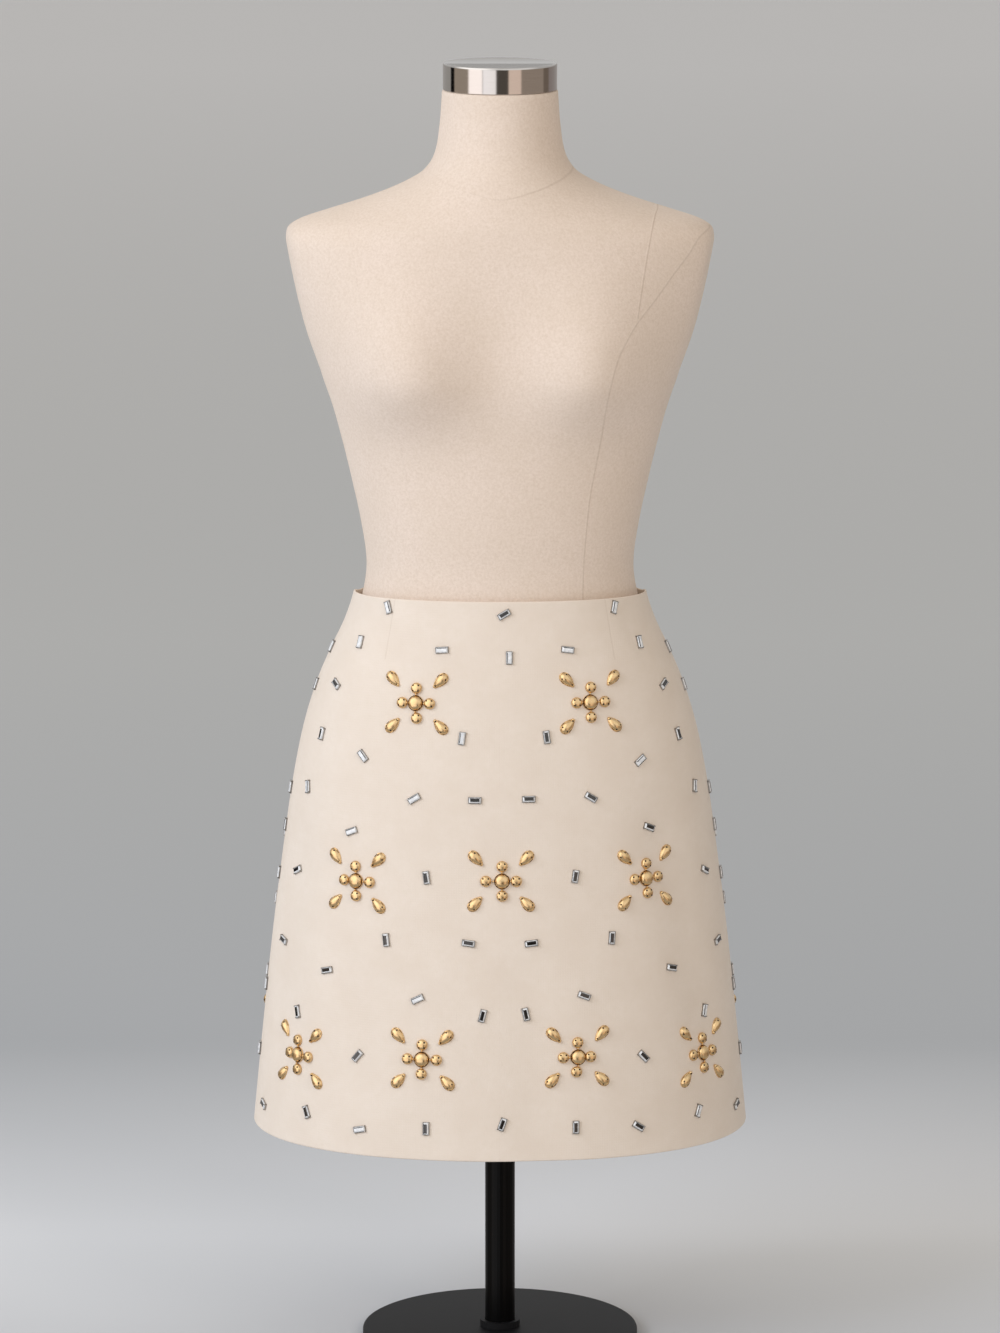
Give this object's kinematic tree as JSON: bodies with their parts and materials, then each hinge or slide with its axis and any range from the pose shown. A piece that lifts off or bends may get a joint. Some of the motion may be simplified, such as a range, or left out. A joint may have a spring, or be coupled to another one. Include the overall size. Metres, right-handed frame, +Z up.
{
  "type": "embellished mini skirt on a limbless dress form",
  "caption": "High-waisted A-line mini skirt with raised gold bead ornaments and crystal baguettes, worn by a limbless linen dress form on a pole and a round base.",
  "frame": {"origin": "centre of the base plate's underside, where the stand rests", "axes": "+Z up along the pole, -Y towards the skirt's front, +X to the viewer's right from the front"},
  "size_m": [0.4458, 0.3227, 1.16],
  "materials": {
    "skirt_cloth": "smooth matt crepe in pale nude",
    "zip_tape": "woven nylon tape",
    "zip_metal": "satin gold plate",
    "form_linen": "natural linen cover",
    "cap_steel": "brushed, soft edge",
    "pole_enamel": "gloss black enamel",
    "base_coat": "matt charcoal powder coat"
  },
  "bodies": {
    "root": {"skirt_front": "skirt_cloth", "skirt_back_left": "skirt_cloth", "skirt_back_right": "skirt_cloth", "zip_tape": "zip_tape", "zip_slider": "zip_metal", "form_torso": "form_linen", "neck_cap": "cap_steel", "pole": "pole_enamel", "base_plate": "base_coat", "base_collar": "base_coat"},
    "pull": {"zip_pull": "zip_metal"}
  },
  "joints": [
    {"name": "pull_hinge", "type": "hinge", "parent": "root", "child": "pull", "pos_m": [0, 0.09528, 0.68076], "axis": [1, 0, 0], "range_deg": [0, 150]}
  ]
}
